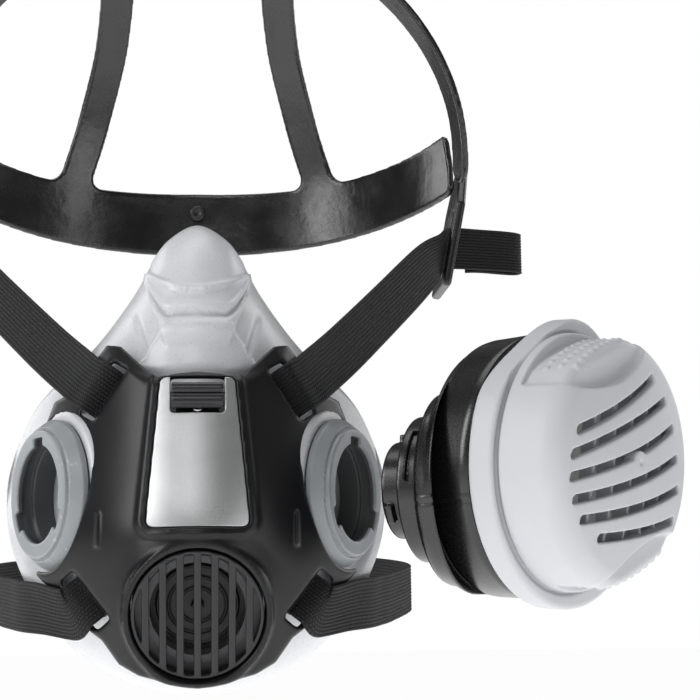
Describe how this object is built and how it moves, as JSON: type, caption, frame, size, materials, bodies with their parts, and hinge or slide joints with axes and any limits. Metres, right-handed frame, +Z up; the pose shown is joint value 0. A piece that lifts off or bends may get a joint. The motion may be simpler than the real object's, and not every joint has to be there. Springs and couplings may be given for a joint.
{
  "type": "half mask respirator",
  "caption": "Half-mask respirator with a soft facepiece, black front cover and grille, head cradle and elastic straps, and a detached twist-on filter.",
  "frame": {"origin": "centre of the face opening, in the plane that the face seal rests against", "axes": "+Z up, -Y the way the wearer looks, +X the viewer's right when facing the mask's front"},
  "size_m": [0.2562, 0.2509, 0.2746],
  "materials": {
    "silicone": "translucent satin",
    "cover_black": "satin moulded",
    "frame_black": "plain moulded",
    "plate_silver": "bead blasted",
    "steel": "plain",
    "housing_grey": "smooth",
    "collar_grey": "smooth",
    "seat_grey": "smooth",
    "valve_rubber": "thin moulded",
    "seal_rubber": "moulded",
    "webbing": "ribbed elastic",
    "cradle_black": "glossy",
    "buckle_black": "satin",
    "filter_black": "glossy",
    "filter_grey": "fine grained",
    "carbon": "granular",
    "screen": "fine mesh",
    "media": "pleated fibre",
    "pad": "felt"
  },
  "bodies": {
    "mask": {"facepiece": "silicone", "front_cover": "cover_black", "exhalation_grille": "cover_black", "support_frame": "frame_black", "exhalation_seat": "frame_black", "cover_plate": "plate_silver", "latch_pin": "steel", "latch_spring": "steel", "valve_housing": "housing_grey", "retaining_ring_left": "housing_grey", "retaining_ring_right": "housing_grey", "inlet_collar_left": "collar_grey", "inlet_collar_right": "collar_grey", "inlet_seat_left": "seat_grey", "inlet_seat_right": "seat_grey", "port_gasket_left": "seal_rubber", "port_gasket_right": "seal_rubber", "upper_strap_left": "webbing", "upper_strap_right": "webbing", "lower_strap_left": "webbing", "lower_strap_right": "webbing", "head_cradle": "cradle_black", "cradle_stud": "cradle_black", "harness_buckle_left": "buckle_black", "harness_buckle_right": "buckle_black", "neck_clasp_eye": "buckle_black"},
    "latch": {"release_latch": "cover_black"},
    "exhale_disc": {"exhalation_valve": "valve_rubber"},
    "inhale_disc_left": {"inlet_valve_left": "valve_rubber"},
    "inhale_disc_right": {"inlet_valve_right": "valve_rubber"},
    "neck_hook": {"neck_clasp_hook": "buckle_black"},
    "filter_seal": {"bayonet_seal": "seal_rubber"},
    "filter": {"bayonet_plug": "filter_black", "filter_housing": "filter_black", "carbon_bed": "carbon", "carbon_screens": "screen", "particle_media": "media", "filter_rim": "filter_grey"},
    "filter_cap": {"prefilter_cap": "filter_grey", "prefilter_pad": "pad"}
  },
  "joints": [
    {"name": "latch_press", "type": "hinge", "parent": "mask", "child": "latch", "pos_m": [0, -0.05868, 0.01176], "axis": [1, 0, 0], "range_deg": [0, 9], "stiffness_Nm_per_rad": 0.02, "deforming": ["latch_spring"]},
    {"name": "exhale_lift", "type": "slide", "parent": "mask", "child": "exhale_disc", "axis": [0, -0.9563, -0.2924], "range_m": [0, 0.0015], "stiffness_N_per_m": 20, "springref_m": -0.001},
    {"name": "inhale_lift_left", "type": "slide", "parent": "mask", "child": "inhale_disc_left", "axis": [0.8746, 0.4848, 0], "range_m": [0, 0.001], "stiffness_N_per_m": 20, "springref_m": -0.001},
    {"name": "inhale_lift_right", "type": "slide", "parent": "mask", "child": "inhale_disc_right", "axis": [-0.8746, 0.4848, 0], "range_m": [0, 0.001], "stiffness_N_per_m": 20, "springref_m": -0.001},
    {"name": "neck_hook_swing", "type": "hinge", "parent": "mask", "child": "neck_hook", "pos_m": [-0.015, 0.131, -0.0345], "axis": [0, 0, 1], "range_deg": [0, 70]},
    {"name": "filter_pull", "type": "slide", "parent": "mask", "child": "filter_seal", "axis": [0.8746, -0.4848, 0], "range_m": [-0.02, 0]},
    {"name": "filter_twist", "type": "hinge", "parent": "filter_seal", "child": "filter", "pos_m": [0.0456, -0.038, -0.0154], "axis": [0.8746, -0.4848, 0], "range_deg": [-40, 0]},
    {"name": "cap_pull", "type": "slide", "parent": "filter", "child": "filter_cap", "axis": [0.7286, -0.682, -0.0637], "range_m": [0, 0.02]}
  ]
}
